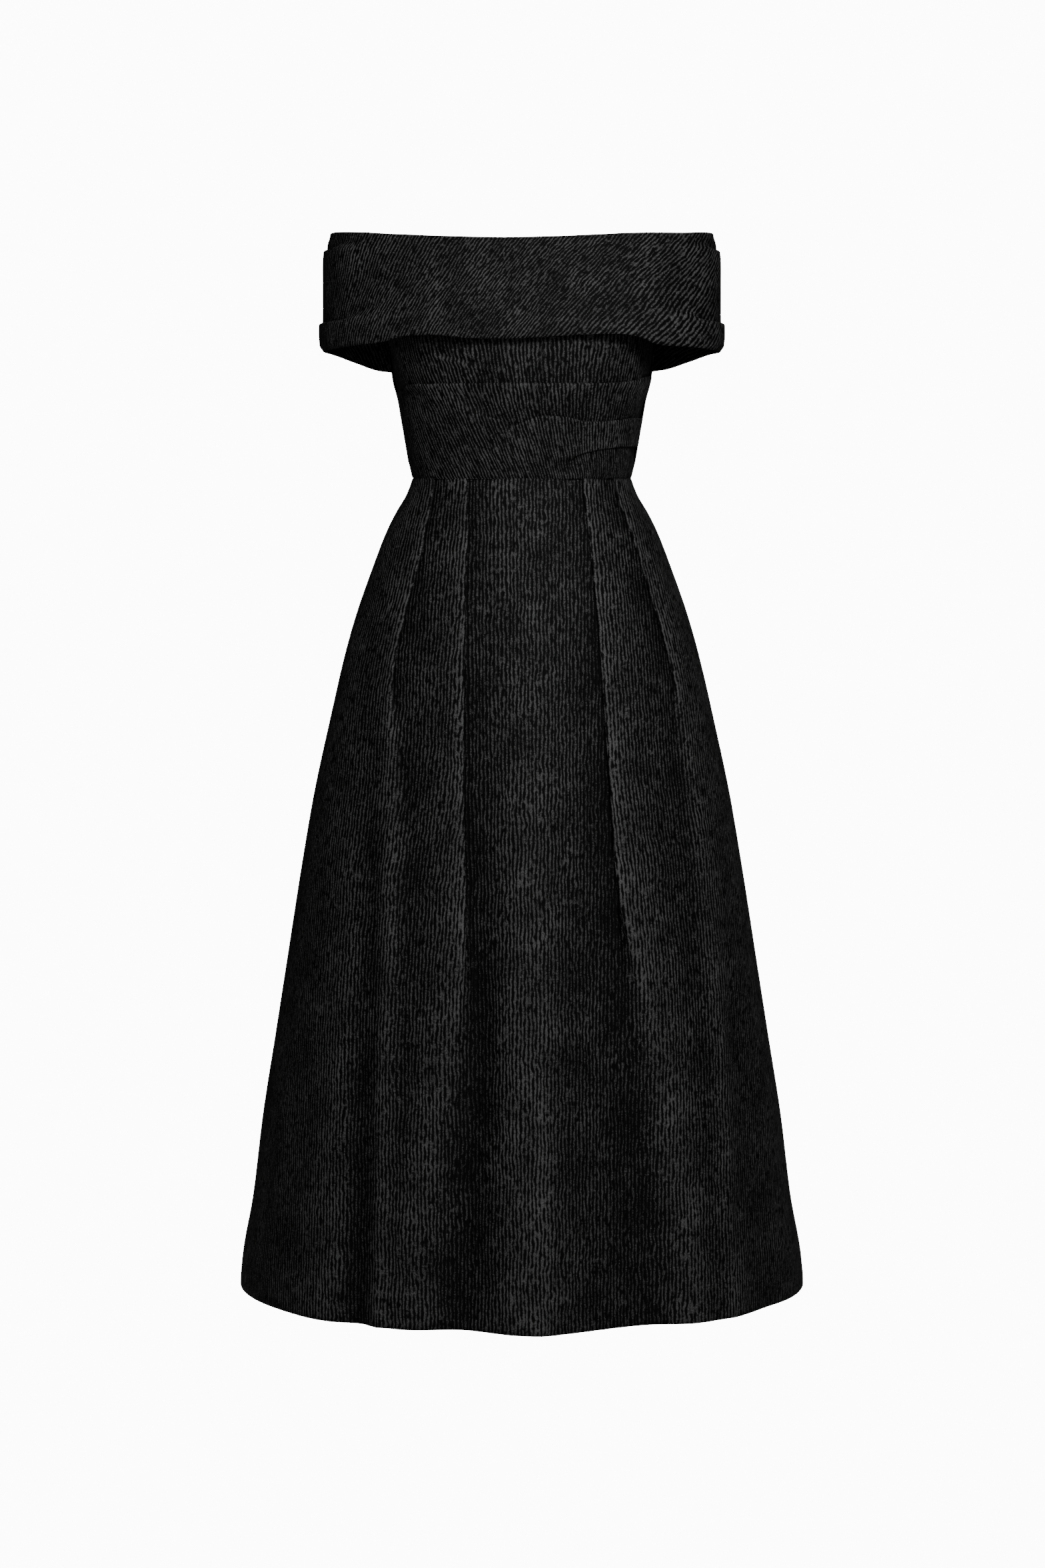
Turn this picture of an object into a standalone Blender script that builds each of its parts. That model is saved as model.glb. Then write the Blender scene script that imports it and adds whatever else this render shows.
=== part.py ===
# Off-shoulder midi dress in crinkled black cloth, in the shape it has when worn, with no wearer.
# The origin is the centre of the waist seam, +Z is up, the front faces -Y, and lengths are in metres.
from collections import namedtuple

import bpy
import numpy as np

# Cloth
CLOTH_WALL = 0.0012
BAND_WALL = 0.0014  # the band is the cloth folded double
ZIP_WALL = 0.0010
SEAM_GAP = 0.0003
WAIST_DROP = 0.0004  # the skirt starts this far under the seam, clear of the bodice
PRESSED_FOLD = 0.0034  # how far a fold's three layers step, two walls and the air between them
BAND_FOLD = 0.0038
CLOTH_ROUGHNESS = 0.85
CLOTH_COLOUR = (0.012, 0.012, 0.012, 1.0)
ZIP_COLOUR = (0.02, 0.02, 0.02, 1.0)

# Each ring round the body, level by level. A squareness of 2 is an ellipse, and more is boxier.
Ring = namedtuple("Ring", "height half_width front_depth back_depth squareness")
SKIRT_RINGS = [
    Ring(0.000, 0.1175, 0.0885, 0.0875, 2.15),
    Ring(-0.016, 0.1226, 0.0925, 0.0920, 2.15),
    Ring(-0.037, 0.1348, 0.0985, 0.0990, 2.10),
    Ring(-0.058, 0.1452, 0.1050, 0.1060, 2.10),
    Ring(-0.101, 0.1619, 0.1160, 0.1190, 2.10),
    Ring(-0.144, 0.1771, 0.1265, 0.1300, 2.10),
    Ring(-0.187, 0.1895, 0.1360, 0.1400, 2.10),
    Ring(-0.252, 0.2048, 0.1490, 0.1520, 2.05),
    Ring(-0.339, 0.2240, 0.1640, 0.1660, 2.00),
    Ring(-0.426, 0.2392, 0.1780, 0.1790, 2.00),
    Ring(-0.513, 0.2531, 0.1920, 0.1925, 2.00),
    Ring(-0.600, 0.2670, 0.2050, 0.2055, 2.00),
    Ring(-0.689, 0.2813, 0.2190, 0.2190, 2.00),
    Ring(-0.777, 0.2924, 0.2320, 0.2320, 2.00),
    Ring(-0.843, 0.3042, 0.2420, 0.2420, 2.00),
    Ring(-0.873, 0.3066, 0.2460, 0.2460, 2.00),
]
BODICE_RINGS = [
    Ring(0.000, 0.1175, 0.0885, 0.0875, 2.15),
    Ring(0.020, 0.1215, 0.0925, 0.0890, 2.20),
    Ring(0.042, 0.1252, 0.0975, 0.0905, 2.25),
    Ring(0.063, 0.1288, 0.1030, 0.0920, 2.30),
    Ring(0.084, 0.1325, 0.1085, 0.0940, 2.35),
    Ring(0.106, 0.1380, 0.1140, 0.0960, 2.45),
    Ring(0.140, 0.1410, 0.1180, 0.0985, 2.70),
    Ring(0.175, 0.1415, 0.1190, 0.1008, 3.00),
    Ring(0.207, 0.1400, 0.1190, 0.1012, 3.20),
]
BAND_RINGS = [
    Ring(0.112, 0.2080, 0.1290, 0.1150, 2.40),
    Ring(0.134, 0.2110, 0.1295, 0.1140, 2.40),
    Ring(0.141, 0.2152, 0.1295, 0.1130, 2.40),
    Ring(0.155, 0.2160, 0.1290, 0.1110, 2.40),
    Ring(0.170, 0.2152, 0.1275, 0.1080, 2.40),
    Ring(0.190, 0.2140, 0.1245, 0.1032, 2.40),
    Ring(0.207, 0.2128, 0.1205, 0.1026, 2.40),
    Ring(0.233, 0.2112, 0.1195, 0.1024, 2.40),
    Ring(0.245, 0.2095, 0.1190, 0.1022, 2.40),
    Ring(0.259, 0.2050, 0.1180, 0.1020, 2.40),
]

# Skirt pleats, level by level. The edge is the fold that shows, the overlap is what the pressed pleat hides,
# and as opened goes to 1 the pleat becomes a soft slope that drops by its depth over its run.
PleatAt = namedtuple("PleatAt", "height edge_x overlap run depth opened")
INNER_LEFT = [
    PleatAt(0.000, -0.058, 0.022, 0.020, PRESSED_FOLD, 0.0),
    PleatAt(-0.050, -0.057, 0.020, 0.020, 0.0036, 0.0),
    PleatAt(-0.150, -0.060, 0.016, 0.020, 0.0050, 0.0),
    PleatAt(-0.300, -0.061, 0.011, 0.022, 0.0070, 0.0),
    PleatAt(-0.420, -0.059, 0.005, 0.026, 0.0090, 0.10),
    PleatAt(-0.520, -0.064, 0.002, 0.034, 0.0110, 0.45),
    PleatAt(-0.620, -0.090, 0.004, 0.046, 0.0130, 0.95),
    PleatAt(-0.700, -0.108, 0.004, 0.056, 0.0140, 1.0),
    PleatAt(-0.873, -0.125, 0.004, 0.064, 0.0150, 1.0),
]
INNER_RIGHT = [
    PleatAt(0.000, 0.064, 0.022, 0.020, PRESSED_FOLD, 0.0),
    PleatAt(-0.050, 0.070, 0.020, 0.020, 0.0038, 0.0),
    PleatAt(-0.150, 0.080, 0.016, 0.020, 0.0056, 0.0),
    PleatAt(-0.300, 0.091, 0.011, 0.024, 0.0084, 0.0),
    PleatAt(-0.420, 0.101, 0.005, 0.030, 0.0110, 0.12),
    PleatAt(-0.520, 0.126, 0.002, 0.040, 0.0135, 0.55),
    PleatAt(-0.620, 0.157, 0.004, 0.052, 0.0160, 1.0),
    PleatAt(-0.700, 0.171, 0.004, 0.060, 0.0170, 1.0),
    PleatAt(-0.873, 0.190, 0.004, 0.070, 0.0180, 1.0),
]
OUTER_LEFT = [
    PleatAt(0.000, -0.094, 0.016, 0.012, PRESSED_FOLD, 0.0),
    PleatAt(-0.050, -0.101, 0.014, 0.012, 0.0034, 0.0),
    PleatAt(-0.120, -0.117, 0.010, 0.014, 0.0038, 0.0),
    PleatAt(-0.204, -0.136, 0.003, 0.014, 0.0040, 0.10),
    PleatAt(-0.280, -0.142, 0.001, 0.020, 0.0044, 1.0),
    PleatAt(-0.420, -0.146, 0.004, 0.034, 0.0040, 1.0),
    PleatAt(-0.620, -0.156, 0.004, 0.036, 0.0020, 1.0),
    PleatAt(-0.873, -0.186, 0.004, 0.040, 0.0010, 1.0),
]
OUTER_RIGHT = [
    PleatAt(0.000, 0.098, 0.016, 0.012, PRESSED_FOLD, 0.0),
    PleatAt(-0.050, 0.114, 0.014, 0.012, 0.0036, 0.0),
    PleatAt(-0.120, 0.136, 0.010, 0.014, 0.0042, 0.0),
    PleatAt(-0.204, 0.160, 0.003, 0.014, 0.0042, 0.10),
    PleatAt(-0.280, 0.176, 0.001, 0.020, 0.0044, 1.0),
    PleatAt(-0.420, 0.194, 0.004, 0.028, 0.0036, 1.0),
    PleatAt(-0.620, 0.216, 0.004, 0.030, 0.0018, 1.0),
    PleatAt(-0.873, 0.246, 0.004, 0.034, 0.0010, 1.0),
]
BACK_INNER = [
    PleatAt(0.000, 0.060, 0.022, 0.020, PRESSED_FOLD, 0.0),
    PleatAt(-0.050, 0.064, 0.020, 0.020, 0.0038, 0.0),
    PleatAt(-0.150, 0.072, 0.016, 0.020, 0.0052, 0.0),
    PleatAt(-0.300, 0.080, 0.011, 0.024, 0.0076, 0.0),
    PleatAt(-0.420, 0.087, 0.005, 0.030, 0.0100, 0.12),
    PleatAt(-0.520, 0.103, 0.002, 0.040, 0.0120, 0.55),
    PleatAt(-0.620, 0.128, 0.004, 0.050, 0.0140, 1.0),
    PleatAt(-0.873, 0.156, 0.004, 0.066, 0.0160, 1.0),
]
BACK_OUTER = [
    PleatAt(0.000, 0.096, 0.016, 0.012, PRESSED_FOLD, 0.0),
    PleatAt(-0.050, 0.108, 0.014, 0.012, 0.0036, 0.0),
    PleatAt(-0.120, 0.127, 0.010, 0.014, 0.0040, 0.0),
    PleatAt(-0.204, 0.148, 0.003, 0.014, 0.0042, 0.10),
    PleatAt(-0.280, 0.162, 0.001, 0.020, 0.0048, 1.0),
    PleatAt(-0.620, 0.204, 0.004, 0.034, 0.0060, 1.0),
    PleatAt(-0.873, 0.232, 0.004, 0.040, 0.0070, 1.0),
]

# Soft waves in the skirt, each a ridge (lift above 0) or a trough that grows from its start to the hem.
WAVE_GROWTH = 0.7  # under 1, a wave reaches most of its lift well above the hem
Wave = namedtuple("Wave", "top_x hem_x width start lift")
FRONT_WAVES = [
    Wave(0.012, 0.022, 0.050, -0.120, 0.007),
    Wave(-0.150, -0.168, 0.016, -0.150, -0.004),
    Wave(-0.175, -0.215, 0.028, -0.300, 0.004),
    Wave(0.205, 0.262, 0.020, -0.350, -0.004),
]
BACK_WAVES = [Wave(0.000, 0.000, 0.050, -0.200, 0.006)]

# Tucks across the bodice and the band, from the wearer's right to left. They run level and their edge
# faces up, or down where the piece says so.
TuckAt = namedtuple("TuckAt", "x edge_height overlap run depth opened")
BODICE_UPPER_TUCK = [
    TuckAt(-0.140, 0.0880, 0.006, 0.012, 0.0034, 0.0),
    TuckAt(-0.129, 0.0915, 0.007, 0.012, 0.0034, 0.0),
    TuckAt(-0.116, 0.0975, 0.008, 0.012, 0.0034, 0.0),
    TuckAt(-0.076, 0.0980, 0.008, 0.012, 0.0034, 0.0),
    TuckAt(0.080, 0.0984, 0.008, 0.012, 0.0034, 0.0),
    TuckAt(0.108, 0.1006, 0.008, 0.012, 0.0034, 0.0),
    TuckAt(0.140, 0.1090, 0.008, 0.012, 0.0034, 0.0),
]
BODICE_LOWER_TUCK = [
    TuckAt(-0.140, 0.0680, 0.005, 0.016, 0.0004, 1.0),
    TuckAt(-0.070, 0.0655, 0.005, 0.014, 0.0010, 1.0),
    TuckAt(-0.048, 0.0640, 0.005, 0.010, 0.0034, 1.0),
    TuckAt(-0.024, 0.0605, 0.006, 0.008, 0.0034, 0.0),
    TuckAt(-0.010, 0.0545, 0.006, 0.010, 0.0034, 0.0),
    TuckAt(0.001, 0.0580, 0.006, 0.010, 0.0034, 0.0),
    TuckAt(0.024, 0.0648, 0.006, 0.010, 0.0034, 0.0),
    TuckAt(0.049, 0.0634, 0.006, 0.010, 0.0034, 0.0),
    TuckAt(0.075, 0.0586, 0.006, 0.010, 0.0034, 0.0),
    TuckAt(0.099, 0.0596, 0.006, 0.010, 0.0036, 0.0),
    TuckAt(0.130, 0.0633, 0.006, 0.010, 0.0040, 0.0),
]
BODICE_BAND_FOOT = [
    TuckAt(-0.140, 0.0200, 0.005, 0.012, 0.0002, 1.0),
    TuckAt(0.030, 0.0220, 0.005, 0.012, 0.0010, 1.0),
    TuckAt(0.060, 0.0245, 0.005, 0.008, 0.0034, 1.0),
    TuckAt(0.080, 0.0275, 0.006, 0.008, 0.0034, 0.0),
    TuckAt(0.099, 0.0312, 0.006, 0.008, 0.0036, 0.0),
    TuckAt(0.130, 0.0340, 0.006, 0.008, 0.0040, 0.0),
]
BAND_LOWER_TUCK = [
    TuckAt(-0.216, 0.1632, 0.008, 0.008, BAND_FOLD, 0.0),
    TuckAt(-0.190, 0.1645, 0.006, 0.008, BAND_FOLD, 0.0),
    TuckAt(-0.168, 0.1665, 0.005, 0.008, BAND_FOLD, 1.0),
    TuckAt(-0.135, 0.1690, 0.005, 0.014, 0.0010, 1.0),
    TuckAt(0.000, 0.1700, 0.005, 0.016, 0.0, 1.0),
    TuckAt(0.140, 0.1680, 0.005, 0.014, 0.0008, 1.0),
    TuckAt(0.172, 0.1660, 0.005, 0.008, BAND_FOLD, 1.0),
    TuckAt(0.192, 0.1645, 0.006, 0.008, BAND_FOLD, 0.0),
    TuckAt(0.216, 0.1632, 0.008, 0.008, BAND_FOLD, 0.0),
]
BAND_UPPER_TUCK = [
    TuckAt(-0.216, 0.2400, 0.006, 0.006, BAND_FOLD, 0.0),
    TuckAt(-0.209, 0.2400, 0.005, 0.006, BAND_FOLD, 0.0),
    TuckAt(-0.198, 0.2400, 0.005, 0.006, BAND_FOLD, 1.0),
    TuckAt(-0.165, 0.2370, 0.005, 0.009, 0.0006, 1.0),
    TuckAt(0.000, 0.2300, 0.005, 0.009, 0.0, 1.0),
    TuckAt(0.170, 0.2370, 0.005, 0.009, 0.0006, 1.0),
    TuckAt(0.199, 0.2400, 0.005, 0.006, BAND_FOLD, 1.0),
    TuckAt(0.209, 0.2400, 0.005, 0.006, BAND_FOLD, 0.0),
    TuckAt(0.216, 0.2400, 0.006, 0.006, BAND_FOLD, 0.0),
]

# Edges of the band and the bodice, across the body.
Edge = namedtuple("Edge", "x lower upper")
BAND_FRONT_EDGES = [
    Edge(-0.2165, 0.1350, 0.2585),
    Edge(-0.171, 0.1380, 0.2555),
    Edge(-0.139, 0.1412, 0.2528),
    Edge(-0.118, 0.1466, 0.2515),
    Edge(-0.090, 0.1480, 0.2500),
    Edge(-0.047, 0.1441, 0.2485),
    Edge(-0.019, 0.1437, 0.2480),
    Edge(0.036, 0.1463, 0.2492),
    Edge(0.065, 0.1483, 0.2505),
    Edge(0.093, 0.1490, 0.2520),
    Edge(0.107, 0.1480, 0.2530),
    Edge(0.122, 0.1440, 0.2536),
    Edge(0.133, 0.1392, 0.2540),
    Edge(0.150, 0.1373, 0.2545),
    Edge(0.173, 0.1368, 0.2553),
    Edge(0.2165, 0.1345, 0.2585),
]
BAND_BACK_EDGES = [
    Edge(-0.2165, 0.1350, 0.2585),
    Edge(-0.208, 0.1338, 0.2570),
    Edge(-0.177, 0.1250, 0.2530),
    Edge(-0.146, 0.1165, 0.2500),
    Edge(-0.090, 0.1130, 0.2460),
    Edge(0.000, 0.1120, 0.2440),
    Edge(0.090, 0.1135, 0.2460),
    Edge(0.146, 0.1178, 0.2500),
    Edge(0.178, 0.1262, 0.2530),
    Edge(0.208, 0.1340, 0.2570),
    Edge(0.2165, 0.1345, 0.2585),
]
BAND_TOP_SHARE = 0.5  # the band's top edge lies this share of its upper tuck's depth in from the ring
BODICE_TOP = {"underarm": 0.172, "front": 0.205, "back": 0.195, "curve_from_x": 0.100, "half_width": 0.1415,
              "curve": 1.5}

# Zip inside the centre back seam
ZIP = {"top": 0.186, "foot": -0.190, "half_width": 0.011, "inset": 0.0018}

# How finely each piece is divided. The levels are where the upright columns are spread evenly round the ring.
SKIRT_LEVELS = 19
SKIRT_LEVEL_SPREAD = {"even": 0.55, "late": 0.45, "power": 1.8}  # closer at the waist than at the hem
SKIRT_SPANS = {"centre": 5, "between": 4, "side": 5}
BODICE_COLUMNS = 28
BODICE_COLUMN_LEVEL = 0.09
BODICE_SPANS = {"waist": 1, "foot_to_lower": 1, "lower_to_upper": 2, "upper_to_top": 4}
BODICE_BACK_COLUMNS = 10
BODICE_BACK_ROWS = 10
BODICE_BACK_TOP_LEVEL = 0.15
BAND_COLUMNS = 28
BAND_COLUMN_LEVEL = 0.2
BAND_SPANS = {"foot": 2, "between": 4, "top": 1}
ZIP_ROWS = 8
ZIP_COLUMNS = 5
FOLD_NODES = 6
ANGLE_SAMPLES = 721


def smooth_through(at, knots, values):
    # Cubic through the knots that never overshoots them: the slope at a knot is the harmonic mean of the
    # slopes on its two sides.
    order = np.argsort(knots)
    knots = np.asarray(knots, float)[order]
    values = np.asarray(values, float)[order]
    steps = np.diff(knots)
    slopes = np.diff(values) / steps
    tangents = np.zeros(len(knots))
    product = slopes[:-1] * slopes[1:]
    total = slopes[:-1] + slopes[1:]
    tangents[1:-1] = np.where(product > 0, 2 * product / np.where(total == 0, 1, total), 0)
    at = np.clip(at, knots[0], knots[-1])
    cell = np.clip(np.searchsorted(knots, at, side="right") - 1, 0, len(steps) - 1)
    step = steps[cell]
    t = (at - knots[cell]) / step
    start = values[cell] * (2 * t**3 - 3 * t**2 + 1) + values[cell + 1] * (3 * t**2 - 2 * t**3)
    bend = tangents[cell] * (t**3 - 2 * t**2 + t) + tangents[cell + 1] * (t**3 - t**2)
    return start + bend * step


def read_table(rows, key, at):
    # Every column of a table at the places asked, as a row of the same kind.
    kind = type(rows[0])
    knots = [getattr(row, key) for row in rows]
    return kind(*[smooth_through(at, knots, [getattr(row, name) for row in rows]) for name in kind._fields])


def ring_points(rings, height, angle, facing):
    # Angle 0 is the centre of the front (facing -1) or back (facing 1), and a quarter turn is the side seam.
    ring = read_table(rings, "height", height)
    depth = ring.front_depth if facing < 0 else ring.back_depth
    across = np.abs(np.sin(angle)) / ring.half_width
    along = np.abs(np.cos(angle)) / depth
    radius = (across**ring.squareness + along**ring.squareness) ** (-1 / ring.squareness)
    return radius * np.sin(angle), facing * radius * np.cos(angle)


def ring_frame(rings, height, angle, facing):
    # A point of the ring, the level direction out of the cloth there, and how many metres an angle of 1
    # covers.
    small = 1e-4
    x, y = ring_points(rings, height, angle, facing)
    x_before, y_before = ring_points(rings, height, angle - small, facing)
    x_after, y_after = ring_points(rings, height, angle + small, facing)
    dx = (x_after - x_before) / (2 * small)
    dy = (y_after - y_before) / (2 * small)
    speed = np.hypot(dx, dy)
    return x, y, -facing * dy / speed, facing * dx / speed, speed


def angle_at(rings, height, x, facing):
    angles = np.linspace(-np.pi / 2, np.pi / 2, ANGLE_SAMPLES)
    across, _ = ring_points(rings, height, angles, facing)
    return np.interp(x, across, angles)


def place(rings, height, angle, depth, facing):
    # Points moved out of the ring by depth, as an array with x, y and z last.
    height = np.broadcast_to(height, np.shape(angle))
    x, y, out_x, out_y, _ = ring_frame(rings, height, angle, facing)
    return np.stack([x + out_x * depth, y + out_y * depth, height], axis=-1)


def fold(overlap, run, depth, opened):
    # Six nodes of a fold from its top layer to its lowest: how far each lies behind the edge, and how deep.
    # Pressed, it is an S of three layers. Opened, it is a soft slope.
    turn = depth / 4
    pressed_back = np.array([turn, 0, turn, overlap - turn, overlap, overlap - turn])
    pressed_deep = depth * np.array([0, 0.25, 0.5, 0.5, 0.75, 1])
    t = np.linspace(0, 1, FOLD_NODES)
    open_back = -run * t
    open_deep = depth * (1 - np.cos(np.pi * t)) / 2
    back = pressed_back + (open_back - pressed_back) * opened
    deep = pressed_deep + (open_deep - pressed_deep) * opened
    return back, -deep


def span(start, end, count):
    # The nodes between two places, each a pair of position and depth. The depth eases from one to the other.
    t = np.arange(1, count + 1) / (count + 1)
    ease = t * t * (3 - 2 * t)
    return start[0] + (end[0] - start[0]) * t, start[1] + (end[1] - start[1]) * ease


def joined(parts):
    return tuple(np.concatenate([np.atleast_1d(part[i]) for part in parts]) for i in (0, 1))


def wave_lift(waves, x, height):
    lift = np.zeros_like(x)
    for wave in waves:
        grown = np.clip((wave.start - height) / (wave.start - SKIRT_RINGS[-1].height), 0, 1)
        centre = wave.top_x + (wave.hem_x - wave.top_x) * grown
        lift = lift + wave.lift * grown**WAVE_GROWTH * np.exp(-(((x - centre) / wave.width) ** 2))
    return lift


def skirt_half(inner, outer, height, facing, side, start):
    # One level of half a skirt, from its centre line to its side seam: the angle and depth of each node.
    pleats = []
    for rows in (inner, outer):
        pleat = read_table(rows, "height", height)
        edge = angle_at(SKIRT_RINGS, height, abs(pleat.edge_x), facing)
        speed = ring_frame(SKIRT_RINGS, height, edge, facing)[4]
        back, deep = fold(pleat.overlap, pleat.run, pleat.depth, pleat.opened)
        pleats.append((edge + back[::-1] / speed, deep[::-1]))
    speed_side = ring_frame(SKIRT_RINGS, height, np.pi / 2, facing)[4]
    seam = (np.pi / 2 - SEAM_GAP / 2 / speed_side, 0.0)
    first = (start, 0.0)
    ends = [(pleat[0][0], pleat[1][0]) for pleat in pleats]
    tails = [(pleat[0][-1], pleat[1][-1]) for pleat in pleats]
    angle, depth = joined([
        first,
        span(first, ends[0], SKIRT_SPANS["centre"]),
        pleats[0],
        span(tails[0], ends[1], SKIRT_SPANS["between"]),
        pleats[1],
        span(tails[1], seam, SKIRT_SPANS["side"]),
        seam,
    ])
    return angle * side, depth


def skirt_levels():
    t = np.linspace(0, 1, SKIRT_LEVELS)
    spread = SKIRT_LEVEL_SPREAD["even"] * t + SKIRT_LEVEL_SPREAD["late"] * t ** SKIRT_LEVEL_SPREAD["power"]
    return -WAIST_DROP + (SKIRT_RINGS[-1].height + WAIST_DROP) * spread


def skirt_rows(height, angle, depth, facing, waves):
    x, _ = ring_points(SKIRT_RINGS, height, angle, facing)
    return place(SKIRT_RINGS, height, angle, depth + wave_lift(waves, x, height), facing)


def skirt_front_points():
    rows = []
    for height in skirt_levels():
        right_angle, right_depth = skirt_half(INNER_RIGHT, OUTER_RIGHT, height, -1, 1, 0.0)
        left_angle, left_depth = skirt_half(INNER_LEFT, OUTER_LEFT, height, -1, -1, 0.0)
        angle = np.concatenate([left_angle[:0:-1], right_angle])
        depth = np.concatenate([left_depth[:0:-1], right_depth])
        rows.append(skirt_rows(height, angle, depth, -1, FRONT_WAVES))
    return np.array(rows)


def skirt_back_points(side):
    rows = []
    for height in skirt_levels():
        speed = ring_frame(SKIRT_RINGS, height, 0.0, 1)[4]
        start = SEAM_GAP / 2 / speed
        angle, depth = skirt_half(BACK_INNER, BACK_OUTER, height, 1, side, start)
        rows.append(skirt_rows(height, angle, depth, 1, BACK_WAVES))
    return np.array(rows)


def tuck(rows, x, edge_faces_up):
    # Heights and depths of a tuck's nodes in order upwards.
    at = read_table(rows, "x", x)
    back, deep = fold(at.overlap, at.run, at.depth, at.opened)
    if edge_faces_up:
        return at.edge_height - back, deep
    return (at.edge_height + back)[::-1], deep[::-1]


def side_angles(count, rings, height, facing):
    # Even angles from one side seam to the other, ending half a seam gap short of each.
    speed = ring_frame(rings, height, np.pi / 2, facing)[4]
    end = np.pi / 2 - SEAM_GAP / 2 / speed
    return np.linspace(-end, end, count)


def bodice_top(x, facing):
    # The top edge runs level across the body, then curves down under the arm.
    top = BODICE_TOP["front"] if facing < 0 else BODICE_TOP["back"]
    reach = BODICE_TOP["half_width"] - BODICE_TOP["curve_from_x"]
    past = np.clip((abs(x) - BODICE_TOP["curve_from_x"]) / reach, 0, 1)
    return top + (BODICE_TOP["underarm"] - top) * past ** BODICE_TOP["curve"]


def bodice_column(x):
    # One upright section of the bodice front, from the waist seam to the top edge.
    foot = tuck(BODICE_BAND_FOOT, x, False)
    lower = tuck(BODICE_LOWER_TUCK, x, True)
    upper = tuck(BODICE_UPPER_TUCK, x, True)
    waist = (SEAM_GAP / 2, 0.0)
    top = (bodice_top(x, -1), 0.0)
    return joined([
        waist,
        span(waist, (foot[0][0], foot[1][0]), BODICE_SPANS["waist"]),
        foot,
        span((foot[0][-1], foot[1][-1]), (lower[0][0], lower[1][0]), BODICE_SPANS["foot_to_lower"]),
        lower,
        span((lower[0][-1], lower[1][-1]), (upper[0][0], upper[1][0]), BODICE_SPANS["lower_to_upper"]),
        upper,
        span((upper[0][-1], upper[1][-1]), top, BODICE_SPANS["upper_to_top"]),
        top,
    ])


def bodice_front_points():
    columns = []
    for angle in side_angles(BODICE_COLUMNS, BODICE_RINGS, BODICE_COLUMN_LEVEL, -1):
        x, _ = ring_points(BODICE_RINGS, BODICE_COLUMN_LEVEL, angle, -1)
        height, depth = bodice_column(x)
        columns.append(place(BODICE_RINGS, height, np.full(len(height), angle), depth, -1))
    return np.array(columns).transpose(1, 0, 2)


def bodice_back_points(side):
    speed = ring_frame(BODICE_RINGS, BODICE_COLUMN_LEVEL, 0.0, 1)[4]
    end = side_angles(2, BODICE_RINGS, BODICE_COLUMN_LEVEL, 1)[1]
    columns = []
    for angle in side * np.linspace(SEAM_GAP / 2 / speed, end, BODICE_BACK_COLUMNS):
        x, _ = ring_points(BODICE_RINGS, BODICE_BACK_TOP_LEVEL, angle, 1)
        height = np.linspace(SEAM_GAP / 2, bodice_top(x, 1), BODICE_BACK_ROWS)
        columns.append(place(BODICE_RINGS, height, np.full(len(height), angle), 0.0, 1))
    return np.array(columns).transpose(1, 0, 2)


def band_column(x, edges):
    at = read_table(edges, "x", x)
    lower = tuck(BAND_LOWER_TUCK, x, True)
    upper = tuck(BAND_UPPER_TUCK, x, True)
    foot = (at.lower, 0.0)
    top = (at.upper, upper[1][-1] * BAND_TOP_SHARE)
    return joined([
        foot,
        span(foot, (lower[0][0], 0.0), BAND_SPANS["foot"]),
        lower,
        span((lower[0][-1], lower[1][-1]), (upper[0][0], 0.0), BAND_SPANS["between"]),
        upper,
        span((upper[0][-1], upper[1][-1]), top, BAND_SPANS["top"]),
        top,
    ])


def band_points(edges, facing):
    columns = []
    for angle in side_angles(BAND_COLUMNS, BAND_RINGS, BAND_COLUMN_LEVEL, facing):
        x, _ = ring_points(BAND_RINGS, BAND_COLUMN_LEVEL, angle, facing)
        height, depth = band_column(x, edges)
        columns.append(place(BAND_RINGS, height, np.full(len(height), angle), depth, facing))
    return np.array(columns).transpose(1, 0, 2)


def zip_points():
    # A strip of tape down the inside of the centre back seam, past the waist.
    rows = []
    below = np.linspace(ZIP["foot"], 0, ZIP_ROWS)
    for height in np.concatenate([below, np.linspace(0, ZIP["top"], ZIP_ROWS)[1:]]):
        rings = BODICE_RINGS if height > 0 else SKIRT_RINGS
        across = np.linspace(-ZIP["half_width"], ZIP["half_width"], ZIP_COLUMNS)
        angle = angle_at(rings, height, across, 1)
        rows.append(place(rings, height, angle, -ZIP["inset"] + wave_lift(BACK_WAVES, across, height), 1))
    return np.array(rows)


def cloth_material(name, colour):
    material = bpy.data.materials.new(name)
    material.use_nodes = True
    shader = material.node_tree.nodes["Principled BSDF"]
    shader.inputs["Base Color"].default_value = colour
    shader.inputs["Roughness"].default_value = CLOTH_ROUGHNESS
    return material


def cloth_object(name, points, wall, colour, group):
    # A grid of points as an open surface, given its wall by Solidify.
    levels, across = points.shape[:2]
    index = np.arange(levels * across).reshape(levels, across)
    faces = np.stack([index[:-1, :-1], index[:-1, 1:], index[1:, 1:], index[1:, :-1]], axis=-1).reshape(-1, 4)
    mesh = bpy.data.meshes.new(name)
    mesh.from_pydata(points.reshape(-1, 3).tolist(), [], faces.tolist())
    mesh.materials.append(cloth_material(name, colour))
    piece = bpy.data.objects.new(name, mesh)
    group.objects.link(piece)
    solidify = piece.modifiers.new("Wall", "SOLIDIFY")
    solidify.thickness = wall
    solidify.offset = 0
    solidify.use_even_offset = True
    return piece


def clear_scene():
    for thing in list(bpy.data.objects):
        bpy.data.objects.remove(thing, do_unlink=True)


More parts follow.
